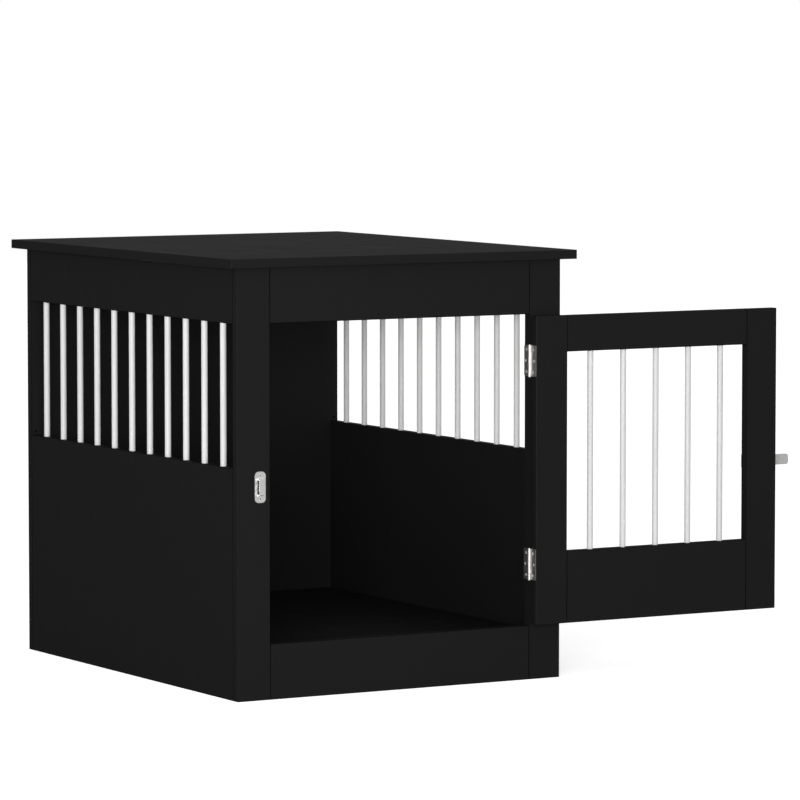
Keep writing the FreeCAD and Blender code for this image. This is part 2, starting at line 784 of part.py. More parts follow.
def plate_holes(body, spots, plate):
    """Sinks screw holes into the outer face of a plate that lies on the body's XZ plane."""
    holes = sketch_on(body, "XZ_Plane", f"{body.Name}_screw_holes", plate)
    for spot in spots:
        circle(holes, spot, S.screw_shank + 2 * S.screw_fit)
    countersink(body, holes, False, S.screw_shank + 2 * S.screw_fit,
                S.screw_head + 2 * S.screw_fit, plate + S.screw_fit)


def make_keeper(stile):
    """Makes the keeper: a plate with rounded ends and a strap pressed out of its middle."""
    body = keep(new_body("keeper"))
    half = S.tongue_width / 2 + S.keeper_play
    half_width, half_length = S.keeper_width / 2, half + S.strap_foot + S.keeper_flange
    outline = sketch_on(body, "XZ_Plane", "keeper_outline")
    rectangle(outline, (-half_width, -half_length), (half_width, half_length))
    blank = pad(body, outline, S.keeper_plate)
    round_edges(body, blank, Y_AXIS, lambda middle: True, S.keeper_corner)
    window = sketch_on(body, "XZ_Plane", "keeper_window", S.keeper_plate)
    rectangle(window, (-S.keeper_strap / 2, -half), (S.keeper_strap / 2, half))
    cut(body, window, S.keeper_plate, False)
    add_strap(body, S.keeper_strap, half, TONGUE_TOP + S.keeper_fit, S.keeper_plate)
    screw_end = half_length - S.keeper_screw_end
    rises = (-screw_end, screw_end)
    plate_holes(body, [(0, rise) for rise in rises], S.keeper_plate)
    place(body, (KEEPER_X, FRONT, S.bolt_height))
    spots = [(KEEPER_X, FRONT - S.keeper_plate, S.bolt_height + rise) for rise in rises]
    fasten(stile, "front", "carcass_screws", spots, -Y_AXIS)


def make_cover(stile):
    """Makes the bolt's plate with its cover, slotted for the knob, on the door's outer face."""
    body = keep(new_body("bolt_cover"))
    half = S.tongue_width / 2 + S.cover_fit
    half_length, half_width = S.cover_length / 2, half + S.strap_foot + S.cover_flange
    outline = sketch_on(body, "XZ_Plane", "bolt_cover_outline")
    rectangle(outline, (-half_length, -half_width), (half_length, half_width))
    blank = pad(body, outline, S.cover_plate)
    round_edges(body, blank, Y_AXIS, lambda middle: True, S.cover_corner)
    lift = TONGUE_TOP + S.cover_fit
    add_strap(body, S.cover_length, half, lift, S.cover_plate)
    slot = sketch_on(body, "XZ_Plane", "bolt_cover_slot", lift + S.strap_thickness)
    stem = S.knob_stem / 2 + S.cover_fit
    rectangle(slot, (-(S.bolt_travel / 2 + stem), -stem), (S.bolt_travel / 2 + stem, stem))
    cut(body, slot, S.strap_thickness, False)
    end, side = half_length - S.cover_screw_end, half_width - S.cover_flange / 2
    corners = [(x, z) for x in (-end, end) for z in (-side, side)]
    plate_holes(body, corners, S.cover_plate)
    hang_on_door(body)
    spots = [(COVER_X - x, DOOR_FACE + S.cover_plate, S.bolt_height + z) for x, z in corners]
    fasten(stile, "back", "door_screws", spots, Y_AXIS)


def hang_on_door(body):
    """Puts a piece of the bolt on the open door, where its own -Y points to the back."""
    turn(body, FreeCAD.Rotation(Z_AXIS, FULL_TURN / 2))
    place(body, (COVER_X, DOOR_FACE, S.bolt_height))


def make_tongue():
    """Makes the flat bolt, out as far as it goes."""
    body = keep(new_body("bolt_tongue"))
    half = S.tongue_width / 2
    outline = sketch_on(body, "XZ_Plane", "bolt_tongue_outline", S.tongue_lift)
    rectangle(outline, (TONGUE_TIP, -half), (TONGUE_TIP + S.tongue_length, half))
    blank = pad(body, outline, S.tongue_thickness)
    middle_x = (TONGUE_TIP + S.tongue_length / 2).value
    round_edges(body, blank, Y_AXIS, lambda middle: middle.x < middle_x, S.tongue_corner)
    hole = sketch_on(body, "XZ_Plane", "bolt_tongue_hole", TONGUE_TOP)
    circle(hole, (KNOB_X, 0), S.knob_stem + 2 * S.stem_fit)
    cut(body, hole, S.tongue_thickness, False)
    hang_on_door(body)


def make_knob():
    """Makes the knob, whose stem is riveted into the bolt through the cover's slot."""
    body = keep(new_body("bolt_knob"))
    stem, head = S.knob_stem / 2, S.knob_head / 2
    neck = TONGUE_TOP + S.cover_fit + S.strap_thickness + S.knob_stand_off
    top = neck + S.knob_height
    outline = sketch_on(body, "XY_Plane", "bolt_knob_outline")
    polygon(outline, [(0, -S.tongue_lift), (stem, -S.tongue_lift), (stem, -neck), (head, -neck),
                      (head, -(top - S.knob_rim)), (head - S.knob_rim, -top), (0, -top)])
    spin(body, outline)
    turn(body, FreeCAD.Rotation(Z_AXIS, FULL_TURN / 2))
    place(body, (COVER_X - KNOB_X, DOOR_FACE, S.bolt_height))


# ------------------------------------------------------------------------- master fasteners

def add_cross(body, length, width, depth):
    """Cuts a cross recess into a piece whose top lies on its own XY plane."""
    cross = sketch_on(body, "XY_Plane", f"{body.Name}_recess")
    arm, half = length / 2, width / 2
    polygon(cross, [(arm, -half), (arm, half), (half, half), (half, arm), (-half, arm), (-half, half),
                    (-arm, half), (-arm, -half), (-half, -half), (-half, -arm), (half, -arm),
                    (half, -half)])
    cut(body, cross, depth, False)


def screw_master(name, head, shank, length, recess):
    """Makes a countersunk screw that stands on its own Z axis, its head's top at nought."""
    body = new_body(name)
    sink_depth = (head - shank) / 2
    outline = sketch_on(body, "XZ_Plane", f"{name}_outline")
    polygon(outline, [(0, 0), (head / 2, 0), (shank / 2, -sink_depth),
                      (shank / 2, -(length - shank / 2)), (0, -length)])
    spin(body, outline)
    add_cross(body, recess, S.recess_width, S.recess_depth)
    return body


def dowel_master():
    """Makes a dowel across a joint, its longer end along +Z."""
    body = new_body("dowel")
    radius, easing = S.dowel_diameter / 2, S.dowel_chamfer
    outline = sketch_on(body, "XZ_Plane", "dowel_outline")
    low, high = -S.dowel_in_face, S.dowel_in_edge
    polygon(outline, [(0, low), (radius - easing, low), (radius, low + easing),
                      (radius, high - easing), (radius - easing, high), (0, high)])
    spin(body, outline)
    return body


def cam_master():
    """Makes a cam lock with its face on the XY plane and the bolt's way in along +X."""
    body = new_body("cam")
    outline = sketch_on(body, "XY_Plane", "cam_outline", -S.cam_depth)
    circle(outline, (0, 0), S.cam_diameter)
    pad(body, outline, S.cam_depth)
    entry = sketch_on(body, "YZ_Plane", "cam_entry", S.cam_diameter / 2)
    circle(entry, (0, -S.board / 2), S.cam_entry)
    cut(body, entry, S.cam_diameter / 2 + S.cam_bolt_head_length, False)
    add_cross(body, S.cam_slot_length, S.cam_slot_width, S.cam_slot_depth)
    return body


def cam_bolt_master():
    """Makes a cam bolt, its thread below the joint and its head at the cam's middle along +Z."""
    body = new_body("cam_bolt")
    thread, shank = S.cam_bolt_thread / 2, S.cam_bolt_shank / 2
    neck, head = S.cam_bolt_neck / 2, S.cam_bolt_head / 2
    end = S.cam_setback + S.cam_bolt_head_length / 2
    head_foot = end - S.cam_bolt_head_length
    neck_foot = head_foot - S.cam_bolt_neck_length
    outline = sketch_on(body, "XZ_Plane", "cam_bolt_outline")
    low = -S.cam_bolt_thread_length
    polygon(outline, [(0, low), (thread, low), (thread, 0), (shank, 0), (shank, neck_foot),
                      (neck, neck_foot), (neck, head_foot), (head, head_foot), (head, end), (0, end)])
    spin(body, outline)
    return body


def make_fasteners():
    """Makes one master of each fastener and a group at its seats."""
    dowel = dowel_master()
    small_screw = screw_master("small_screw", S.screw_head, S.screw_shank, S.screw_length,
                               S.recess_length)
    confirmat = screw_master("confirmat", S.confirmat_head, S.confirmat_shank, S.confirmat_length,
                             S.confirmat_shank)
    link_group("carcass_dowels", dowel)
    link_group("door_dowels", dowel)
    link_group("cam_locks", cam_master())
    link_group("cam_bolts", cam_bolt_master())
    link_group("back_panel_screws", confirmat)
    link_group("carcass_screws", small_screw)
    link_group("door_screws", small_screw)


# ------------------------------------------------------------------------------------ build

def check_everything():
    """Stops if an object failed, or if a piece has no valid solid."""
    for thing in doc.Objects:
        if "Invalid" in thing.State or "Error" in thing.State:
            raise ValueError(f"{thing.Name} failed: {thing.State}")
    for thing in nodes:
        shape = thing.Shape
        if shape.isNull() or not shape.isValid() or not shape.Solids:
            raise ValueError(f"{thing.Label} has no valid shape")
    if len(nodes) > MAX_NODES:
        raise ValueError(f"{len(nodes)} nodes are more than {MAX_NODES}")


def write_everything():
    os.makedirs("parts", exist_ok=True)
    for thing in nodes:
        thing.Shape.exportStep(f"parts/{thing.Label}.step")
        box = thing.Shape.BoundBox
        print(f"{thing.Label:26s} {len(thing.Shape.Solids):3d} solids  "
              f"{box.XLength:7.1f} x {box.YLength:7.1f} x {box.ZLength:7.1f}")
    print(f"{len(nodes)} nodes")


frame_stiles = make_cabinet()
door_hinge_stile, door_latch_stile = make_door()
make_hinges(frame_stiles["right"], door_hinge_stile)
make_keeper(frame_stiles["left"])
make_cover(door_latch_stile)
make_tongue()
make_knob()
make_fasteners()
doc.recompute()
check_everything()
write_everything()
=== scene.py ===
"""Looks of a dog crate end table: black laminated boards, steel bars, hinges and a slide bolt.

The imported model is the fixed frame. Its boards, bars and fittings keep their shapes and get finishes
of their own; the screws, dowels and the bolt's knob are made here in finer detail. Lengths are in
metres.
"""

import json
import logging
import math
from collections.abc import Iterable, Sequence
from dataclasses import dataclass, field
from enum import Enum
from typing import Union

import bmesh
import bpy
import numpy as np
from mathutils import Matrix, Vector


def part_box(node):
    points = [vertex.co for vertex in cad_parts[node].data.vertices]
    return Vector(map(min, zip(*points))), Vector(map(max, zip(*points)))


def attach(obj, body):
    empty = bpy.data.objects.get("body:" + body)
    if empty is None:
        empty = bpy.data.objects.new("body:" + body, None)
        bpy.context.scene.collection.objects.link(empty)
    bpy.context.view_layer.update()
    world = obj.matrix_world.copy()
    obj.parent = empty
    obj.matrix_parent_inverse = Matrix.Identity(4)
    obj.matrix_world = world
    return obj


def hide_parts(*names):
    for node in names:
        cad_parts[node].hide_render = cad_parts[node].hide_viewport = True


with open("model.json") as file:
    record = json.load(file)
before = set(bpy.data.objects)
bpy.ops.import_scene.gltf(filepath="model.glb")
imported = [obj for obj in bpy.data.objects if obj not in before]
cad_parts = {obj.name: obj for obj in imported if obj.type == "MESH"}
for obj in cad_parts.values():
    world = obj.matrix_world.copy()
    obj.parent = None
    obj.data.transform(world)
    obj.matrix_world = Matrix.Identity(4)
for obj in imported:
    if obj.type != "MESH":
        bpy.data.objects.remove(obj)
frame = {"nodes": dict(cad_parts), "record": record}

LOG = logging.getLogger("crate_table")
MM = 0.001
SUNK = "sunk"
SHARP_ANGLE = math.radians(40)
NOISE_ROUGHNESS = 0.55
END_SHARE = 0.02
WELD = 0.001 * MM
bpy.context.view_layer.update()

Triple = tuple[float, float, float]
Colour = Triple
Box = tuple[Sequence[float], Sequence[float]]
Number = Union[float, "Wire"]


class Axis(Enum):
    """The three directions of the frame."""

    X = 0
    Y = 1
    Z = 2


class Slot(Enum):
    """The record's material slots."""

    LAMINATE = "laminate"
    BARS = "bars"
    HINGE = "hinge_steel"
    BOLT = "bolt_steel"
    SCREW = "screw_steel"
    FASTENER = "fastener_steel"
    CAM = "cam_metal"
    DOWEL = "dowel"


# ---- node trees


class Wire:
    """The output of a node, which can be used in arithmetic."""

    def __init__(self, tree: "Tree", output: bpy.types.NodeSocket) -> None:
        """Keeps an output with its tree.

        Args:
            tree: The tree that the output's node is in.
            output: The output.
        """
        self.tree = tree
        self.output = output

    def other(self, name: str) -> "Wire":
        """Gives another output of the same node."""
        return Wire(self.tree, self.output.node.outputs[name])

    def math(self, operation: str, *values: Number) -> "Wire":
        """Adds a Math node.

        Args:
            operation: The node's operation.
            *values: Its inputs in order.

        Returns:
            The node's output.
        """
        return self.tree.node("ShaderNodeMath", {"operation": operation}, dict(enumerate(values)))

    def __add__(self, other: Number) -> "Wire":
        """Adds."""
        return self.math("ADD", self, other)

    def __sub__(self, other: Number) -> "Wire":
        """Subtracts."""
        return self.math("SUBTRACT", self, other)

    def __rsub__(self, other: Number) -> "Wire":
        """Subtracts from a number."""
        return self.math("SUBTRACT", other, self)

    def __mul__(self, other: Number) -> "Wire":
        """Multiplies."""
        return self.math("MULTIPLY", self, other)

    def __truediv__(self, other: Number) -> "Wire":
        """Divides."""
        return self.math("DIVIDE", self, other)

    def __neg__(self) -> "Wire":
        """Changes the sign."""
        return self.math("MULTIPLY", self, -1.0)

    def __abs__(self) -> "Wire":
        """Gives the distance from nought."""
        return self.math("ABSOLUTE", self)

    __radd__ = __add__
    __rmul__ = __mul__

    def least(self, other: Number) -> "Wire":
        """Gives the lesser of two values."""
        return self.math("MINIMUM", self, other)

    def most(self, other: Number) -> "Wire":
        """Gives the greater of two values."""
        return self.math("MAXIMUM", self, other)

    def centred(self) -> "Wire":
        """Gives how far a value from 0 to 1 lies above its middle."""
        return self - 0.5

    def between(self, low: float, high: float) -> "Wire":
        """Rises smoothly from 0 to 1 between two values.

        Args:
            low: The value that gives 0, which may be the greater one.
            high: The value that gives 1.

        Returns:
            The rising value.
        """
        settings = {"interpolation_type": "SMOOTHSTEP"}
        inputs = {"Value": self, "From Min": low, "From Max": high, "To Min": 0.0, "To Max": 1.0}
        if low > high:
            inputs.update({"From Min": high, "From Max": low, "To Min": 1.0, "To Max": 0.0})
        return self.tree.node("ShaderNodeMapRange", settings, inputs)


class Tree:
    """A node tree with one method that adds any node."""

    def __init__(self, nodes: bpy.types.NodeTree) -> None:
        """Keeps the tree that nodes are added to."""
        self.nodes = nodes

    def node(
        self,
        kind: str,
        settings: dict[str, object] | None = None,
        inputs: dict[str | int, object] | None = None,
        output: str | int = 0,
    ) -> Wire:
        """Adds a node.

        Args:
            kind: The node's type.
            settings: The node's own properties, set first.
            inputs: Values, wires or lists of wires, by the socket's name or number.
            output: The output to give back.

        Returns:
            The chosen output.
        """
        made = self.nodes.nodes.new(kind)
        for name, value in (settings or {}).items():
            setattr(made, name, value)
        for key, value in (inputs or {}).items():
            for single in value if isinstance(value, list) else [value]:
                if isinstance(single, Wire):
                    self.nodes.links.new(single.output, made.inputs[key])
                else:
                    made.inputs[key].default_value = single
        return Wire(self, made.outputs[output] if made.outputs else None)


class Surface(Tree):
    """A material's node tree."""

    def __init__(self, name: str) -> None:
        """Makes a material with an empty tree.

        Args:
            name: The material's name.
        """
        self.material = bpy.data.materials.new(name)
        self.material.use_nodes = True
        self.material.node_tree.nodes.clear()
        super().__init__(self.material.node_tree)
        self.place = self.node("ShaderNodeTexCoord", output="Object")
        self.x, self.y, self.z = self.split(self.place)

    def split(self, vector: Wire) -> list[Wire]:
        """Splits a vector into its three parts."""
        parts = self.node("ShaderNodeSeparateXYZ", inputs={"Vector": vector})
        return [parts, parts.other("Y"), parts.other("Z")]

    def stretched(self, factors: Sequence[float]) -> Wire:
        """Gives the place on the surface with each direction multiplied by its own factor."""
        inputs = {0: self.place, 1: tuple(factors)}
        return self.node("ShaderNodeVectorMath", {"operation": "MULTIPLY"}, inputs)

    def noise(self, scale: float, detail: float = 3.0, place: Wire | None = None) -> Wire:
        """Adds a cloudy pattern from about 0 to 1.

        Args:
            scale: How many clouds there are to the metre.
            detail: How many finer layers it has.
            place: Where the pattern is read, or None for the place on the surface.

        Returns:
            The pattern's value.
        """
        inputs = {"Vector": place or self.place, "Scale": scale, "Detail": detail}
        inputs["Roughness"] = NOISE_ROUGHNESS
        return self.node("ShaderNodeTexNoise", inputs=inputs)

    def mix(self, share: Number, first: Colour | Wire, second: Colour | Wire) -> Wire:
        """Mixes two colours.

        Args:
            share: How much of the second colour shows, from 0 to 1.
            first: The first colour.
            second: The second colour.

        Returns:
            The mixed colour.
        """
        colours = [c if isinstance(c, Wire) else (*c, 1.0) for c in (first, second)]
        settings = {"data_type": "RGBA", "clamp_factor": True}
        inputs = {0: share, 6: colours[0], 7: colours[1]}
        return self.node("ShaderNodeMix", settings, inputs, output=2)

    def bump(self, height: Wire, depth: float, strength: float = 1.0) -> Wire:
        """Turns a height into a normal.

        Args:
            height: The height, from about 0 to 1.
            depth: How deep a height of 1 is.
            strength: How much of it shows.

        Returns:
            The normal.
        """
        return self.node(
            "ShaderNodeBump", inputs={"Height": height, "Distance": depth, "Strength": strength}
        )

    def shade(
        self, varying: dict[str, Wire | float], steady: dict[str, object]
    ) -> bpy.types.Material:
        """Ends the material with a Principled shader.

        Args:
            varying: What changes over the surface, by the shader's socket.
            steady: What is the same all over, by the shader's socket.

        Returns:
            The finished material.
        """
        shader = self.node("ShaderNodeBsdfPrincipled", inputs={**steady, **varying})
        self.node("ShaderNodeOutputMaterial", inputs={"Surface": shader})
        return self.material


# ---- finishes


@dataclass(frozen=True)
class Patches:
    """Scattered patches on a surface: a cloudy pattern that fades in between two of its values."""

    scale: float
    detail: float
    low: float
    high: float

    def on(self, surface: Surface, place: Wire | None = None) -> Wire:
        """Lays the patches on a surface.

        Args:
            surface: The material's tree.
            place: Where the pattern is read, or None for the place on the surface.

        Returns:
            A value from 0 between the patches to 1 on them.
        """
        return surface.noise(self.scale, self.detail, place).between(self.low, self.high)


@dataclass(frozen=True)
class Laminate:
    """Satin black melamine on board, with a band glued round the board's edges and shade painted into
    the seams between boards.
    """

    colour: Colour = (0.0074, 0.0074, 0.0075)
    worn: Colour = (0.017, 0.017, 0.0175)
    dust: Colour = (0.024, 0.0235, 0.023)
    # Colour of the real glue line and of the shade painted into the seams between boards.
    shadow: Colour = (0.0006, 0.0006, 0.0006)
    roughness: float = 0.47
    specular: float = 0.095
    ior: float = 1.5
    band: float = 1.0 * MM
    glue_line: float = 0.14 * MM
    arris: float = 0.75 * MM
    # Width of the shade painted along board edges that touch another board.
    seam_shade: float = 1.0 * MM
    touching: float = 0.02 * MM
    peel_scale: float = 850.0
    grain_scale: float = 260.0
    grain_stretch: float = 0.035
    cloud_scale: float = 5.0
    smudges: Patches = Patches(17.0, 5.0, 0.54, 0.70)
    specks: Patches = Patches(1500.0, 0.0, 0.74, 0.80)
    rubbing: Patches = Patches(60.0, 4.0, 0.35, 0.75)
    upward: tuple[float, float] = (0.7, 0.95)
    settling: tuple[float, float] = (0.3, 0.7)
    wear_share: float = 0.12
    dust_share: float = 0.10
    speck_share: float = 0.35
    glue_share: float = 0.5
    cloud_dulling: float = 0.10
    grain_dulling: float = 0.12
    dust_dulling: float = 0.02
    seam_dulling: float = 0.4
    smudge_gloss: float = 0.05
    band_gloss: float = 0.06
    arris_gloss: float = 0.05
    band_flattening: float = 0.7
    peel_height: float = 0.5
    grain_height: float = 0.5
    bump_depth: float = 0.05 * MM
    bump_strength: float = 0.35

    def material(self, name: str, box: Box, whole: Box) -> bpy.types.Material:
        """Makes the finish for one board.

        Args:
            name: The board's name.
            box: The board's lowest and highest corners.
            whole: Those of the frame that the board is a part of.

        Returns:
            The board's material.
        """
        surface = Surface(f"laminate_{name}")
        low, high = box
        size = [high[i] - low[i] for i in range(3)]
        thin, long = size.index(min(size)), size.index(max(size))
        place = (surface.x, surface.y, surface.z)
        depths = [(p - low[i]).least(high[i] - p) for i, p in enumerate(place)]
        edge = depths[3 - thin - long].least(depths[long])
        joint = abs(edge - self.band).between(self.glue_line, self.glue_line / 3)
        on_band = edge.between(self.band, self.band / 2)
        arris = edge.most(depths[thin]).between(self.arris, self.arris / 2)
        # Painted shade: a dark band where the board touches a neighbour, standing in for the shadow in
        # the seam.
        seam_shade = self._seam_shade(place, box, whole)

        factors = [1.0, 1.0, 1.0]
        factors[long] = self.grain_stretch
        grain = surface.noise(self.grain_scale, 4.0, surface.stretched(factors))
        peel = surface.noise(self.peel_scale, 1.0)
        cloud = surface.noise(self.cloud_scale, 2.0)
        smudge = self.smudges.on(surface)
        speck = self.specks.on(surface)
        normal = surface.node("ShaderNodeNewGeometry", output="Normal")
        up = surface.split(normal)[2].between(*self.upward)

        wear = arris * self.rubbing.on(surface) * self.wear_share
        colour = surface.mix(wear, self.colour, self.worn)
        settled = cloud.between(*self.settling) * self.dust_share + speck * self.speck_share
        colour = surface.mix(up * settled, colour, self.dust)
        # The glue line is a real dark joint; the seam band mixed in with it is painted shade.
        colour = surface.mix((joint * self.glue_share).most(seam_shade), colour, self.shadow)
        roughness = (
            self.roughness + cloud.centred() * self.cloud_dulling
            + grain.centred() * self.grain_dulling - smudge * self.smudge_gloss
            - on_band * self.band_gloss - arris * self.arris_gloss
            + up * self.dust_dulling + seam_shade * self.seam_dulling
        )
        peel = peel * (1.0 - on_band * self.band_flattening) * self.peel_height
        height = peel + grain * self.grain_height - joint
        normal = surface.bump(height, self.bump_depth, self.bump_strength)
        return surface.shade(
            {"Base Color": colour, "Roughness": roughness, "Normal": normal},
            {"IOR": self.ior, "Specular IOR Level": self.specular},
        )

    def _seam_shade(self, place: Sequence[Wire], box: Box, whole: Box) -> Wire | float:
        """Gives how far a point lies in the shadow between this board and the next, from 0 to 1.

        Args:
            place: The point's three coordinates.
            box: The board's lowest and highest corners.
            whole: Those of the frame that the board is a part of.

        Returns:
            The share of shadow, 0 where the board has no neighbour beside it.
        """
        depths = []
        for i, along in enumerate(place):
            if box[0][i] - whole[0][i] > self.seam_shade:
                depths.append(along - box[0][i])
            if whole[1][i] - box[1][i] > self.seam_shade:
                depths.append(box[1][i] - along)
        if not depths:
            return 0.0
        nearest = depths[0]
        for depth in depths[1:]:
            nearest = nearest.least(depth)
        return nearest.between(self.seam_shade, self.seam_shade * 0.75) * nearest.between(0.0, self.touching)


@dataclass(frozen=True)
class DrawnSteel:
    """Steel drawn to a bar and plated silver, with faint streaks along its length."""

    colour: Colour = (0.53, 0.53, 0.525)
    streak: Colour = (0.46, 0.46, 0.46)
    metallic: float = 0.08
    roughness: float = 0.58
    specular: float = 0.15
    streak_scale: float = 520.0
    streak_stretch: float = 0.012
    streak_fade: tuple[float, float] = (0.42, 0.72)
    pits: Patches = Patches(1900.0, 0.0, 0.72, 0.80)
    streak_share: float = 0.55
    pit_share: float = 0.25
    streak_dulling: float = 0.22
    cloud_dulling: float = 0.12
    pit_dulling: float = 0.15
    streak_height: float = 0.7
    pit_depth: float = 0.5
    bump_depth: float = 0.02 * MM
    bump_strength: float = 0.4
    along: Axis = Axis.Z

    def material(self, name: str) -> bpy.types.Material:
        """Makes the finish.

        Args:
            name: The material's name.

        Returns:
            The material.
        """
        surface = Surface(name)
        factors = [1.0, 1.0, 1.0]
        factors[self.along.value] = self.streak_stretch
        streak = surface.noise(self.streak_scale, 5.0, surface.stretched(factors))
        cloud = surface.noise(24.0, 3.0)
        pit = self.pits.on(surface)
        share = streak.between(*self.streak_fade) * self.streak_share + pit * self.pit_share
        roughness = (
            self.roughness + streak.centred() * self.streak_dulling
            + cloud.centred() * self.cloud_dulling + pit * self.pit_dulling
        )
        height = streak * self.streak_height - pit * self.pit_depth
        return surface.shade(
            {
                "Base Color": surface.mix(share, self.colour, self.streak),
                "Roughness": roughness,
                "Normal": surface.bump(height, self.bump_depth, self.bump_strength),
            },
            {"Metallic": self.metallic, "Specular IOR Level": self.specular},
        )


@dataclass(frozen=True)
class Plate:
    """A plated metal: its tone, its gloss, its rolling marks and the shade painted into its hollows.
    """

    colour: Colour
    tarnish: Colour
    roughness: float
    metallic: float = 1.0
    marks: float = 0.10
    bloom: float = 0.12
    mark_scale: float = 700.0
    marks_along: Axis = Axis.Z
    marks_stretch: float = 0.06
    blooms: Patches = Patches(90.0, 4.0, 0.45, 0.75)
    pits: Patches = Patches(2600.0, 0.0, 0.70, 0.80)
    spangle: float = 0.0
    spangle_scale: float = 420.0
    pit_share: float = 0.1
    bloom_dulling: float = 0.06
    spangle_dulling: float = 0.3
    mark_height: float = 4.0
    # Painted shade: a near-black colour laid into screw recesses, darker the deeper the point.
    recess_shade: Colour = (0.02, 0.02, 0.02)
    recess_shade_share: float = 0.9
    recess_shade_from: float = 0.25 * MM
    recess_shade_full: float = 0.8 * MM
    bump_depth: float = 0.006 * MM
    bump_strength: float = 0.4

    def material(self, name: str) -> bpy.types.Material:
        """Makes the finish.

        Args:
            name: The material's name.

        Returns:
            The material.
        """
        surface = Surface(name)
        factors = [1.0, 1.0, 1.0]
        factors[self.marks_along.value] = self.marks_stretch
        marks = surface.noise(self.mark_scale, 4.0, surface.stretched(factors))
        bloom = self.blooms.on(surface)
        pit = self.pits.on(surface)
        inputs = {"Scale": self.spangle_scale}
        cells = surface.node("ShaderNodeTexVoronoi", inputs=inputs, output="Color")
        facet = surface.split(cells)[0]
        share = bloom * self.bloom + pit * self.pit_share + facet * self.spangle
        roughness = (
            self.roughness + marks.centred() * self.marks + bloom * self.bloom_dulling
            + facet * self.spangle * self.spangle_dulling
        )
        height = marks * self.marks * self.mark_height - pit + facet * self.spangle
        tone = surface.mix(share, self.colour, self.tarnish)
        return surface.shade(
            {
                # Painted shade darkens a screw's recess, growing with depth below the head's face.
                "Base Color": surface.mix(self._recess_shade(surface), tone, self.recess_shade),
                "Roughness": roughness,
                "Normal": surface.bump(height, self.bump_depth, self.bump_strength),
            },
            {"Metallic": self.metallic},
        )

    def _recess_shade(self, surface: Surface) -> Wire:
        """Gives how much shade is painted on a point, which grows with its depth inside a screw's
        recess.

        Args:
            surface: The material's tree.

        Returns:
            The share of painted shade, 0 at the head's face.
        """
        settings = {"attribute_name": SUNK}
        depth = surface.node("ShaderNodeAttribute", settings, output="Fac")
        return depth.between(self.recess_shade_from, self.recess_shade_full) * self.recess_shade_share


@dataclass(frozen=True)
class Beech:
    """Raw turned beech, with its grain along the dowel and short dark flecks."""

    pale: Colour = (0.60, 0.42, 0.25)
    dark: Colour = (0.40, 0.25, 0.13)
    flecked: Colour = (0.20, 0.11, 0.05)
    grain_scale: float = 900.0
    grain_stretch: Triple = (0.08, 0.08, 1.0)
    flecks: Patches = Patches(2200.0, 0.0, 0.62, 0.70)
    fleck_stretch: Triple = (0.3, 0.3, 1.0)
    grain_fade: tuple[float, float] = (0.3, 0.7)
    fleck_share: float = 0.5
    roughness: float = 0.62
    grain_dulling: float = 0.2
    specular: float = 0.3
    bump_depth: float = 0.08 * MM
    bump_strength: float = 0.4

    def material(self, name: str) -> bpy.types.Material:
        """Makes the finish.

        Args:
            name: The material's name.

        Returns:
            The material.
        """
        surface = Surface(name)
        grain = surface.noise(self.grain_scale, 4.0, surface.stretched(self.grain_stretch))
        fleck = self.flecks.on(surface, surface.stretched(self.fleck_stretch))
        colour = surface.mix(grain.between(*self.grain_fade), self.pale, self.dark)
        colour = surface.mix(fleck * self.fleck_share, colour, self.flecked)
        return surface.shade(
            {
                "Base Color": colour,
                "Roughness": self.roughness + grain.centred() * self.grain_dulling,
                "Normal": surface.bump(grain, self.bump_depth, self.bump_strength),
            },
            {"Specular IOR Level": self.specular},
        )


HINGE_NICKEL = Plate(colour=(0.50, 0.49, 0.475), tarnish=(0.38, 0.37, 0.36), roughness=0.40)
BOLT_NICKEL = Plate(
    colour=(0.72, 0.72, 0.71), tarnish=(0.54, 0.54, 0.53), roughness=0.36, metallic=0.7,
    marks_along=Axis.X,
)
SCREW_NICKEL = Plate(
    colour=(0.88, 0.87, 0.85), tarnish=(0.60, 0.59, 0.57), roughness=0.30, metallic=0.6, marks=0.05
)
ZINC_PLATE = Plate(
    colour=(0.62, 0.63, 0.65), tarnish=(0.42, 0.43, 0.44), roughness=0.34, spangle=0.2
)
ZINC_CASTING = Plate(
    colour=(0.52, 0.52, 0.53), tarnish=(0.34, 0.34, 0.35), roughness=0.46, marks=0.1, spangle=0.35
)


# ---- geometry trees


@dataclass(frozen=True)
class Seat:
    """Where a fastener's face lies, and the way that it looks out."""

    point: Triple
    outward: Triple
    length: float


def seats_of(node: str) -> list[Seat]:
    """Finds where the separate solids of a node lie.

    Args:
        node: A node whose solids are long and round, and thickest at their outer end.

    Returns:
        A seat for each solid.
    """
    shape = bmesh.new()
    shape.from_mesh(frame["nodes"][node].data)
    bmesh.ops.remove_doubles(shape, verts=shape.verts, dist=WELD)
    seats = []
    waiting = set(shape.verts)
    while waiting:
        solid, edge_of_search = set(), {next(iter(waiting))}
        while edge_of_search:
            solid |= edge_of_search
            edge_of_search = {e.other_vert(v) for v in edge_of_search for e in v.link_edges} - solid
        waiting -= solid
        seats.append(_seat(np.array([v.co for v in solid])))
    shape.free()
    return sorted(seats, key=lambda seat: seat.point)


def _seat(points: np.ndarray) -> Seat:
    """Finds the seat of one long round solid.

    Args:
        points: The solid's corners.

    Returns:
        The seat.
    """
    low, high = points.min(0), points.max(0)
    middle, size = (low + high) / 2, high - low
    along = int(size.argmax())
    radius = np.delete(points - middle, along, 1)
    radius = np.hypot(radius[:, 0], radius[:, 1])
    reach = size[along] * END_SHARE
    near_high = radius[points[:, along] > high[along] - reach].max()
    near_low = radius[points[:, along] < low[along] + reach].max()
    way = 1.0 if near_high >= near_low else -1.0
    outward = [0.0, 0.0, 0.0]
    outward[along] = way
    face = [float(c) for c in middle]
    face[along] = float(high[along] if way > 0 else low[along])
    return Seat(tuple(face), tuple(outward), float(size[along]))


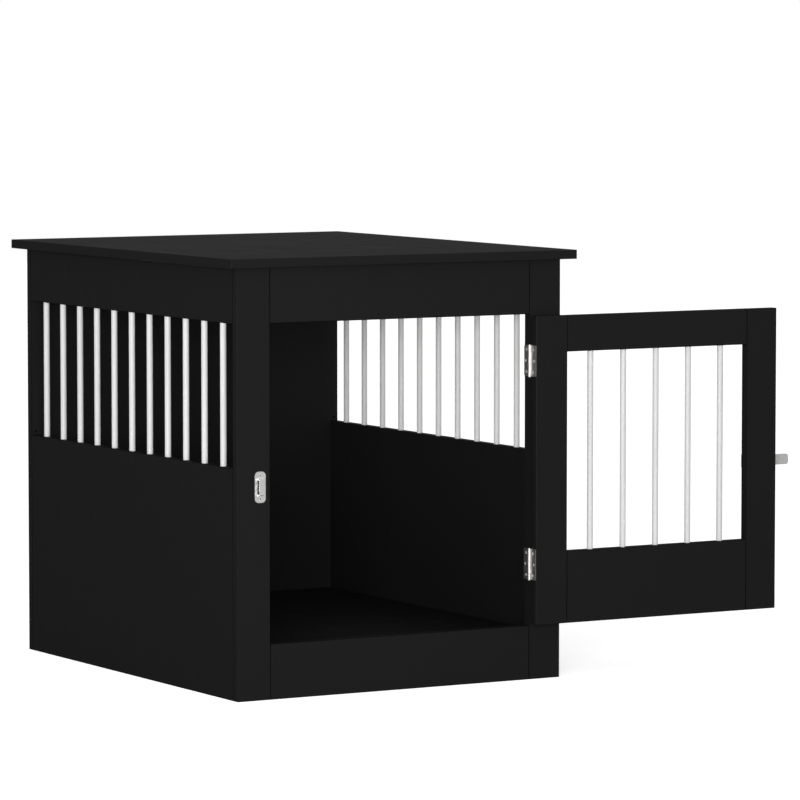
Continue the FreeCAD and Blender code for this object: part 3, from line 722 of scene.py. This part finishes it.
class FastenerTree(Tree):
    """A geometry tree that sets one fastener at every seat; a subclass gives its shape."""

    SEGMENTS = 28
    UPRIGHT = 0.9

    def __init__(self, name: str, sizes: dict[str, float], material: bpy.types.Material) -> None:
        """Builds the tree.

        Args:
            name: The tree's name.
            sizes: The fastener's sizes, each of which becomes an input of the tree.
            material: What the fasteners are made of.
        """
        self.group = bpy.data.node_groups.new(name, "GeometryNodeTree")
        super().__init__(self.group)
        ports = self.group.interface
        ports.new_socket("Geometry", in_out="INPUT", socket_type="NodeSocketGeometry")
        ports.new_socket("Geometry", in_out="OUTPUT", socket_type="NodeSocketGeometry")
        for size in (*sizes, "Roll"):
            ports.new_socket(size, in_out="INPUT", socket_type="NodeSocketFloat")
        ports.new_socket("Seed", in_out="INPUT", socket_type="NodeSocketInt")
        self.sizes = sizes
        self.entry = self.node("NodeGroupInput", output="Geometry")
        self._place(self.shape(), material)

    def size(self, name: str) -> Wire:
        """Gives one of the tree's named inputs."""
        return self.entry.other(name)

    def shape(self) -> Wire:
        """Gives one fastener, its outer face at nought and its length towards -Z."""
        raise NotImplementedError

    def _place(self, item: Wire, material: bpy.types.Material) -> None:
        """Sets the fastener at each point, turned to the point's direction and rolled at random.

        Args:
            item: One fastener.
            material: What it is made of.
        """
        outward = self.node(
            "GeometryNodeInputNamedAttribute", {"data_type": "FLOAT_VECTOR"}, {"Name": "outward"}
        )
        aligned = self.node("FunctionNodeAlignRotationToVector", {"axis": "Z"}, {"Vector": outward})
        roll = self.node(
            "FunctionNodeRandomValue", {"data_type": "FLOAT"},
            {"Seed": self.size("Seed"), 2: 0.0, 3: self.size("Roll")}, output=1,
        )
        about_z = self.node("FunctionNodeAxisAngleToRotation", inputs={"Angle": roll})
        turned = self.node(
            "FunctionNodeRotateRotation", {"rotation_space": "LOCAL"}, {0: aligned, 1: about_z}
        )
        copies = self.node(
            "GeometryNodeInstanceOnPoints",
            inputs={"Points": self.entry, "Instance": item, "Rotation": turned},
        )
        real = self.node("GeometryNodeRealizeInstances", inputs={"Geometry": copies})
        dressed = self.node(
            "GeometryNodeSetMaterial", inputs={"Geometry": real, "Material": material}
        )
        self.node("NodeGroupOutput", inputs={"Geometry": dressed})

    def cone(
        self, foot: Number, depth: Number, lower: Number, upper: Number
    ) -> tuple[Wire, Wire]:
        """Adds a closed cone or cylinder about Z.

        Args:
            foot: The height of its lower end.
            depth: How tall it is.
            lower: The radius of its lower end.
            upper: The radius of its upper end.

        Returns:
            The solid, and the choice of the face at its upper end.
        """
        inputs = {"Radius Top": upper, "Radius Bottom": lower, "Depth": depth}
        inputs["Vertices"] = self.SEGMENTS
        made = self.node("GeometryNodeMeshCone", {"fill_type": "NGON"}, inputs)
        return self.raised(made, foot), made.other("Top")

    def turned(
        self, foot: Number, start: Number, tip: Number, radius: Number,
        drums: Sequence[tuple[Number, Number]],
    ) -> Wire:
        """Turns one closed solid about Z: a tapered end, and then a stack of drums.

        Args:
            foot: The height of its lower end.
            start: The radius of its lower end.
            tip: The height of the taper.
            radius: The radius at the taper's top.
            drums: Each drum's height, and its upper radius over its lower one.

        Returns:
            The solid.
        """
        solid, top = self.cone(foot, tip, start, radius)
        for rise, ratio in drums:
            inputs = {"Mesh": solid, "Selection": top, "Offset Scale": rise, "Individual": False}
            grown = self.node("GeometryNodeExtrudeMesh", {"mode": "FACES"}, inputs)
            top = grown.other("Top")
            inputs = {"Geometry": grown, "Selection": top, "Scale": ratio}
            solid = self.node("GeometryNodeScaleElements", {"domain": "FACE"}, inputs)
        return solid

    def raised(self, solid: Wire, height: Number) -> Wire:
        """Moves a shape along Z."""
        place = self.node("ShaderNodeCombineXYZ", inputs={"Z": height})
        return self.node("GeometryNodeTransform", inputs={"Geometry": solid, "Translation": place})

    def bar(self, length: Number, width: Number, height: Number) -> Wire:
        """Adds a block about the centre."""
        size = self.node("ShaderNodeCombineXYZ", inputs={"X": length, "Y": width, "Z": height})
        return self.node("GeometryNodeMeshCube", inputs={"Size": size})

    def joined(self, solids: Iterable[Wire]) -> Wire:
        """Joins shapes into one."""
        return self.node("GeometryNodeJoinGeometry", inputs={"Geometry": list(solids)})

    def smooth_sides(self, solid: Wire) -> Wire:
        """Shades the round sides smooth and leaves the flat ends flat.

        Args:
            solid: The shape to shade.

        Returns:
            The shaded shape.
        """
        normal = self.node("GeometryNodeInputNormal")
        upright = abs(self.node("ShaderNodeSeparateXYZ", inputs={"Vector": normal}).other("Z"))
        inputs = {0: upright, 1: self.UPRIGHT}
        side = self.node("FunctionNodeCompare", {"operation": "LESS_THAN"}, inputs)
        return self.node(
            "GeometryNodeSetShadeSmooth",
            inputs={"Geometry": solid, "Selection": side, "Shade Smooth": True},
        )

    def bake(self, name: str, seats: Sequence[Seat], roll: float, seed: int) -> bpy.types.Object:
        """Sets the fasteners at their seats and turns them into a plain mesh.

        Args:
            name: The new object's name.
            seats: Where the fasteners sit.
            roll: The most that a fastener is turned about its own axis.
            seed: What the random turns start from.

        Returns:
            The object.
        """
        points = bpy.data.meshes.new(f"{name}_seats")
        points.from_pydata([seat.point for seat in seats], [], [])
        outward = points.attributes.new("outward", "FLOAT_VECTOR", "POINT")
        outward.data.foreach_set("vector", [c for seat in seats for c in seat.outward])
        holder = placed(f"{name}_seats", points)
        modifier = holder.modifiers.new("fasteners", "NODES")
        modifier.node_group = self.group
        values = {**self.sizes, "Roll": roll, "Seed": seed}
        for port in self.group.interface.items_tree:
            if port.in_out == "INPUT" and port.name in values:
                modifier[port.identifier] = values[port.name]
        evaluated = holder.evaluated_get(bpy.context.evaluated_depsgraph_get())
        mesh = bpy.data.meshes.new_from_object(evaluated)
        mesh.name = name
        bpy.data.objects.remove(holder)
        return placed(name, mesh)


class ScrewTree(FastenerTree):
    """Countersunk screws with a cross recess and a rolled thread."""

    TURN_STEPS = 14
    RIDGE_SIDES = 4

    def shape(self) -> Wire:
        """Makes one screw: a point, a shank and a sunk head, with its recess and its thread.

        Returns:
            The screw.
        """
        head = self.size("Head") * 0.5
        root = self.size("Shank") * 0.5 - self.size("Thread depth")
        sunk, land, tip = self.size("Head depth"), self.size("Land"), self.size("Tip")
        foot = -self.size("Length")
        drums = [(-foot - tip - sunk, 1.0), (sunk - land, head / root), (land, 1.0)]
        whole = self.turned(foot, 0.0, tip, root, drums)
        settings = {"operation": "DIFFERENCE", "solver": "EXACT"}
        cut = self.node("GeometryNodeMeshBoolean", settings, {0: whole, 1: self.recess()})
        threaded, pitch = self.size("Threaded"), self.size("Pitch")
        inputs = {
            "Resolution": self.TURN_STEPS, "Rotations": threaded / pitch, "Height": threaded,
            "Start Radius": root, "End Radius": root,
        }
        helix = self.node("GeometryNodeCurveSpiral", inputs=inputs)
        inputs = {"Resolution": self.RIDGE_SIDES, "Radius": self.size("Thread depth")}
        ridge = self.node("GeometryNodeCurvePrimitiveCircle", inputs=inputs)
        inputs = {"Curve": helix, "Profile Curve": ridge, "Fill Caps": True}
        thread = self.node("GeometryNodeCurveToMesh", inputs=inputs)
        return self.sunk(self.joined([self.smooth_sides(cut), self.raised(thread, foot + tip)]))

    def recess(self) -> list[Wire]:
        """Makes the shapes that cut the head's cross.

        Returns:
            Two arms, the second a little deeper, and a point between them.
        """
        names = ("Recess", "Recess width", "Recess depth")
        span, width, depth = (self.size(name) for name in names)
        point, _ = self.cone(depth * -1.4, depth * 1.6, 0.0, width * 0.9)
        return [self.bar(span, width, depth * 2.0), self.bar(width, span, depth * 2.1), point]

    def sunk(self, solid: Wire) -> Wire:
        """Writes on each point how far below the head's face it lies.

        Args:
            solid: The shape to write on.

        Returns:
            The same shape.
        """
        place = self.node("GeometryNodeInputPosition")
        height = self.node("ShaderNodeSeparateXYZ", inputs={"Vector": place}).other("Z")
        return self.node(
            "GeometryNodeStoreNamedAttribute", {"data_type": "FLOAT", "domain": "POINT"},
            {"Geometry": solid, "Name": SUNK, "Value": -height},
        )


class DowelTree(FastenerTree):
    """Beech dowels with straight flutes and eased ends."""

    SEGMENTS = 72
    FLUTES = 18

    def shape(self) -> Wire:
        """Makes one dowel, its flutes pressed in along its whole length.

        Returns:
            The dowel.
        """
        radius, ease, length = self.size("Diameter") * 0.5, self.size("Ease"), self.size("Length")
        drums = [(length - ease * 2.0, 1.0), (ease, (radius - ease) / radius)]
        solid = self.turned(-length, radius - ease, ease, radius, drums)
        place = self.node("GeometryNodeInputPosition")
        parts = self.node("ShaderNodeSeparateXYZ", inputs={"Vector": place})
        x, y, z = parts, parts.other("Y"), parts.other("Z")
        turn = x.math("ARCTAN2", y, x)
        wave = turn.math("COSINE", turn * float(self.FLUTES))
        shrink = 1.0 - (wave * 0.5 + 0.5) * self.size("Flute depth") / radius
        moved = self.node("ShaderNodeCombineXYZ", inputs={"X": x * shrink, "Y": y * shrink, "Z": z})
        return self.node("GeometryNodeSetPosition", inputs={"Geometry": solid, "Position": moved})


# ---- sub-assemblies


def dress(nodes: Iterable[str], material: bpy.types.Material) -> int:
    """Gives nodes a finish.

    Args:
        nodes: The nodes' names.
        material: The finish.

    Returns:
        How many nodes were dressed.
    """
    count = 0
    for name in nodes:
        piece = frame["nodes"][name]
        for holder in piece.material_slots:
            holder.material = material
        count += 1
    return count


def placed(name: str, data: bpy.types.ID) -> bpy.types.Object:
    """Adds an object to the scene.

    Args:
        name: The object's name.
        data: Its mesh, lamp or camera.

    Returns:
        The object.
    """
    made = bpy.data.objects.new(name, data)
    bpy.context.scene.collection.objects.link(made)
    return made


def fit(piece: bpy.types.Object, node: str, body: str) -> None:
    """Puts a piece made here on its body in the place of a plain node.

    Args:
        piece: The finer piece.
        node: The plain node.
        body: The body that carries it.
    """
    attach(piece, body)
    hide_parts(node)


def nodes_of(slot: Slot) -> list[str]:
    """Gives the nodes that the record puts in a material slot."""
    parts = frame["record"]["subparts"]
    return [part["node"] for part in parts if part["material_slot"] == slot.value]


@dataclass
class Boards:
    """The cabinet's and the door's laminated boards."""

    finish: Laminate = field(default_factory=Laminate)
    top: str = "tabletop"
    door_prefix: str = "door_"

    def build(self) -> None:
        """Dresses each board in a laminate laid out for that board."""
        names = nodes_of(Slot.LAMINATE)
        for name in names:
            material = self.finish.material(name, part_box(name), self._frame_of(name, names))
            dress([name], material)
        LOG.info("boards: %d in black laminate", len(names))

    def _frame_of(self, name: str, names: Sequence[str]) -> Box:
        """Finds the box round the frame that a board is a part of.

        Args:
            name: The board's name.
            names: Every board's name.

        Returns:
            The box's lowest and highest corners: the door's, the cabinet's or the tabletop's own.
        """
        on_door = name.startswith(self.door_prefix)
        mates = [n for n in names if n.startswith(self.door_prefix) == on_door and n != self.top]
        boxes = [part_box(mate) for mate in (mates if name != self.top else [name])]
        low = [min(box[0][i] for box in boxes) for i in range(3)]
        high = [max(box[1][i] for box in boxes) for i in range(3)]
        return low, high


@dataclass
class Bars:
    """The upright bars of the two windows and the door."""

    finish: DrawnSteel = field(default_factory=DrawnSteel)

    def build(self) -> None:
        """Dresses every bar."""
        count = dress(nodes_of(Slot.BARS), self.finish.material("drawn_steel"))
        LOG.info("bars: %d in drawn steel", count)


@dataclass
class Fittings:
    """The hinges, the keeper, the bolt and the fasteners that keep their modelled shapes."""

    finishes: dict[Slot, Plate] = field(
        default_factory=lambda: {
            Slot.HINGE: HINGE_NICKEL,
            Slot.BOLT: BOLT_NICKEL,
            Slot.FASTENER: ZINC_PLATE,
            Slot.CAM: ZINC_CASTING,
        }
    )

    def build(self) -> None:
        """Dresses every fitting by its slot."""
        for slot, finish in self.finishes.items():
            count = dress(nodes_of(slot), finish.material(slot.value))
            LOG.info("fittings: %d pieces of %s", count, slot.value)


@dataclass
class Screws:
    """A node's screws, made with their recesses and threads."""

    node: str
    body: str
    slot: Slot
    finish: Plate
    sizes: dict[str, float]
    seed: int

    def build(self) -> None:
        """Makes the screws at their seats and hides the plain ones."""
        material = self.finish.material(f"{self.node}_metal")
        seats = seats_of(self.node)
        tree = ScrewTree(f"{self.node}_tree", {**self.sizes, "Length": seats[0].length}, material)
        piece = tree.bake(f"{self.node}_detail", seats, math.tau, self.seed)
        fit(piece, self.node, self.body)
        LOG.info("screws: %d of %s", len(seats), self.node)


SMALL_SCREW = {
    "Head": 5.0 * MM, "Head depth": 1.0 * MM, "Land": 0.15 * MM, "Shank": 3.0 * MM,
    "Thread depth": 0.28 * MM, "Pitch": 1.1 * MM, "Threaded": 8.2 * MM, "Tip": 2.4 * MM,
    "Recess": 3.3 * MM, "Recess width": 1.2 * MM, "Recess depth": 1.2 * MM,
}
CONFIRMAT = {
    "Head": 9.6 * MM, "Head depth": 2.3 * MM, "Land": 0.3 * MM, "Shank": 5.0 * MM,
    "Thread depth": 0.45 * MM, "Pitch": 2.6 * MM, "Threaded": 26.0 * MM, "Tip": 3.0 * MM,
    "Recess": 5.2 * MM, "Recess width": 1.3 * MM, "Recess depth": 2.4 * MM,
}


@dataclass
class Dowels:
    """A node's dowels, made with their flutes."""

    node: str
    body: str
    diameter: float = 6.0 * MM
    ease: float = 0.8 * MM
    flute_depth: float = 0.22 * MM

    def build(self) -> None:
        """Makes the dowels at their seats and hides the plain ones."""
        seats = seats_of(self.node)
        sizes = {
            "Diameter": self.diameter, "Ease": self.ease, "Flute depth": self.flute_depth,
            "Length": seats[0].length,
        }
        tree = DowelTree(f"{self.node}_tree", sizes, Beech().material(f"{self.node}_beech"))
        piece = tree.bake(f"{self.node}_detail", seats, 0.0, 1)
        fit(piece, self.node, self.body)
        LOG.info("dowels: %d of %s", len(seats), self.node)


@dataclass
class Knob:
    """The bolt's turned knob: a stem, a waisted grip and a domed top."""

    name: str = "bolt_knob_turned"
    node: str = "bolt_knob"
    body: str = "bolt"
    stem_radius: float = 2.0 * MM
    grip_height: float = 8.0 * MM
    waist: float = 0.9 * MM
    dome: float = 1.1 * MM
    rim: float = 0.9 * MM
    stem_ease: float = 0.2 * MM
    segments: int = 72
    steps: int = 9
    crown: float = 0.45

    def profile(self, reach: float, radius: float) -> list[tuple[float, float]]:
        """Draws the knob's outline.

        Args:
            reach: The knob's whole length.
            radius: Its greatest radius.

        Returns:
            Pairs of height and radius, from the stem's end to the top's middle.
        """
        neck = reach - self.grip_height
        shoulder = reach - self.dome
        stem, ease = self.stem_radius, self.stem_ease
        points = [(0.0, 0.0), (0.0, stem - ease), (ease, stem)]
        points += [(neck, stem), (neck, radius - self.rim)]
        for step in range(1, self.steps + 1):
            turn = math.pi / 2 * step / self.steps
            rise, rest = self.rim * (1 - math.cos(turn)), self.rim * (1 - math.sin(turn))
            points.append((neck + rise, radius - rest))
        grip_from, grip_to = neck + self.rim * 1.3, shoulder - self.rim
        for step in range(1, 2 * self.steps):
            share = step / (2 * self.steps)
            height = grip_from + (grip_to - grip_from) * share
            points.append((height, radius - self.waist * math.sin(math.pi * share) ** 2))
        for step in range(self.steps + 1):
            turn = math.pi / 2 * step / self.steps
            height = grip_to + (reach - grip_to) * math.sin(turn)
            points.append((height, radius * math.cos(turn) ** self.crown))
        points[-1] = (reach, 0.0)
        return points

    def build(self) -> None:
        """Turns the knob, dresses it and puts it on the bolt."""
        low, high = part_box(self.node)
        middle = (low + high) / 2
        outline = self.profile(high.y - low.y, (high.x - low.x) / 2)
        shape = bmesh.new()
        rings = [self._ring(shape, middle, low.y + height, radius) for height, radius in outline]
        for first, second in zip(rings, rings[1:]):
            self._bridge(shape, first, second)
        bmesh.ops.recalc_face_normals(shape, faces=shape.faces)
        mesh = bpy.data.meshes.new(self.name)
        shape.to_mesh(mesh)
        shape.free()
        mesh.shade_smooth()
        mesh.set_sharp_from_angle(angle=SHARP_ANGLE)
        mesh.materials.append(BOLT_NICKEL.material("knob_nickel"))
        fit(placed(self.name, mesh), self.node, self.body)
        LOG.info("knob: %d faces", len(mesh.polygons))

    def _ring(
        self, shape: bmesh.types.BMesh, middle: Vector, y: float, radius: float
    ) -> list[bmesh.types.BMVert]:
        """Adds a ring of points, or a single one where the radius is nought.

        Args:
            shape: The mesh being made.
            middle: A point on the knob's axis.
            y: Where the ring lies along the axis.
            radius: The ring's radius.

        Returns:
            The ring's points.
        """
        count = self.segments if radius > WELD else 1
        turns = [math.tau * i / count for i in range(count)]
        return [
            shape.verts.new((middle.x + radius * math.cos(t), y, middle.z + radius * math.sin(t)))
            for t in turns
        ]

    @staticmethod
    def _bridge(
        shape: bmesh.types.BMesh, first: list[bmesh.types.BMVert], second: list[bmesh.types.BMVert]
    ) -> None:
        """Fills between two rings.

        Args:
            shape: The mesh being made.
            first: The first ring.
            second: The second ring.
        """
        count = max(len(first), len(second))
        for i in range(count):
            after = (i + 1) % count
            corners = [first[i % len(first)], first[after % len(first)],
                       second[after % len(second)], second[i % len(second)]]
            shape.faces.new(list(dict.fromkeys(corners)))


# ---- stage


@dataclass
class Camera:
    """The camera at the photograph's viewing angle."""

    place: Triple = (-3.9759, -6.8714, 1.0959)
    heading_deg: float = 30.063
    tilt_deg: float = 4.490
    lens_mm: float = 220.8
    sensor_mm: float = 36.0
    sight: float = 60.0

    def build(self) -> None:
        """Puts the camera in the scene."""
        data = bpy.data.cameras.new("camera")
        data.lens = self.lens_mm
        data.sensor_width = self.sensor_mm
        data.clip_end = self.sight
        camera = placed("camera", data)
        camera.location = self.place
        turned = (90 - self.tilt_deg, 0, -self.heading_deg)
        camera.rotation_euler = [math.radians(angle) for angle in turned]
        bpy.context.scene.camera = camera
        LOG.info("camera: %.1f mm lens", self.lens_mm)


@dataclass(frozen=True)
class Lamp:
    """An oval soft light aimed at the table."""

    name: str
    power: float
    width: float
    height: float
    place: Triple
    aim: Triple = (0.1, 0.2, 0.35)

    def build(self) -> None:
        """Hangs the light."""
        data = bpy.data.lights.new(self.name, "AREA")
        data.shape = "ELLIPSE"
        data.size = self.width
        data.size_y = self.height
        data.energy = self.power
        lamp = placed(self.name, data)
        lamp.location = self.place
        towards = Vector(self.aim) - Vector(self.place)
        lamp.rotation_euler = towards.to_track_quat("-Z", "Y").to_euler()


@dataclass
class Studio:
    """A pale floor in a bright tent, with a dark screen behind the table to keep its top black."""

    floor_radius: float = 14.0
    floor_sides: int = 96
    floor_drop: float = 0.05 * MM
    floor_tone: float = 0.90
    mirrored_tone: float = 0.10
    floor_glow: float = 0.62
    open_sky: float = 0.65
    screened_sky: float = 0.17
    away: Triple = (0.22, 0.975, 0.0)
    screen_start: float = 0.10
    screen_full: float = 0.60
    screen_foot: float = 0.60
    screen_top: float = 0.95
    key: Lamp = Lamp("key", power=192.0, width=2.6, height=1.3, place=(-2.5, -3.8, 0.8))
    fill: Lamp = Lamp("fill", power=32.0, width=2.0, height=2.0, place=(-4.0, -0.6, 1.4))

    def build(self) -> None:
        """Makes the floor, the sky and the lamps."""
        self._floor()
        self._sky()
        self.key.build()
        self.fill.build()
        settings = bpy.context.scene.view_settings
        settings.view_transform = "Standard"
        settings.look = "None"
        LOG.info("studio: floor, sky and two lamps")

    def _floor(self) -> None:
        """Lays a round floor, pale to the eye and dim in reflections."""
        shape = bmesh.new()
        sides, radius = self.floor_sides, self.floor_radius
        bmesh.ops.create_circle(shape, cap_ends=True, segments=sides, radius=radius)
        mesh = bpy.data.meshes.new("floor")
        shape.to_mesh(mesh)
        shape.free()
        floor = placed("floor", mesh)
        floor.location.z = -self.floor_drop
        surface = Surface("pale_floor")
        mirrored = surface.node("ShaderNodeLightPath", output="Is Glossy Ray")
        seen = mirrored.other("Is Camera Ray")
        grain = surface.noise(40.0, 3.0)
        tone = surface.mix(mirrored, (self.floor_tone,) * 3, (self.mirrored_tone,) * 3)
        varying = {
            "Base Color": tone,
            "Roughness": 0.85 + grain.centred() * 0.1,
            "Emission Color": surface.mix(seen, (0.0, 0.0, 0.0), (1.0, 1.0, 1.0)),
        }
        steady = {"Specular IOR Level": 0.1, "Emission Strength": self.floor_glow}
        mesh.materials.append(surface.shade(varying, steady))

    def _sky(self) -> None:
        """Makes a sky that is white to the camera and lights the object from above."""
        world = bpy.data.worlds.new("studio")
        world.use_nodes = True
        world.node_tree.nodes.clear()
        tree = Tree(world.node_tree)
        direction = tree.node("ShaderNodeTexCoord", output="Generated")
        height = tree.node("ShaderNodeSeparateXYZ", inputs={"Vector": direction}).other("Z")
        inputs = {0: direction, 1: self.away}
        behind = tree.node("ShaderNodeVectorMath", {"operation": "DOT_PRODUCT"}, inputs, "Value")
        screened = behind.between(self.screen_start, self.screen_full)
        screened = screened * height.between(self.screen_top, self.screen_foot)
        bright = self.open_sky + screened * (self.screened_sky - self.open_sky)
        seen = tree.node("ShaderNodeLightPath", output="Is Camera Ray")
        strength = seen + (1.0 - seen) * bright
        light = tree.node(
            "ShaderNodeBackground", inputs={"Color": (1.0, 1.0, 1.0, 1.0), "Strength": strength}
        )
        tree.node("ShaderNodeOutputWorld", inputs={"Surface": light})
        bpy.context.scene.world = world


# ---- main


def main() -> None:
    """Builds the stage and dresses the table, piece by piece."""
    logging.basicConfig(level=logging.INFO, format="%(name)s: %(message)s")
    Camera().build()
    Studio().build()
    Boards().build()
    Bars().build()
    Fittings().build()
    Screws("carcass_screws", "carcass", Slot.SCREW, SCREW_NICKEL, SMALL_SCREW, 3).build()
    Screws("door_screws", "door", Slot.SCREW, SCREW_NICKEL, SMALL_SCREW, 5).build()
    Screws("back_panel_screws", "carcass", Slot.FASTENER, ZINC_PLATE, CONFIRMAT, 7).build()
    Dowels("carcass_dowels", "carcass").build()
    Dowels("door_dowels", "door").build()
    Knob().build()


if __name__ == "__main__":
    main()
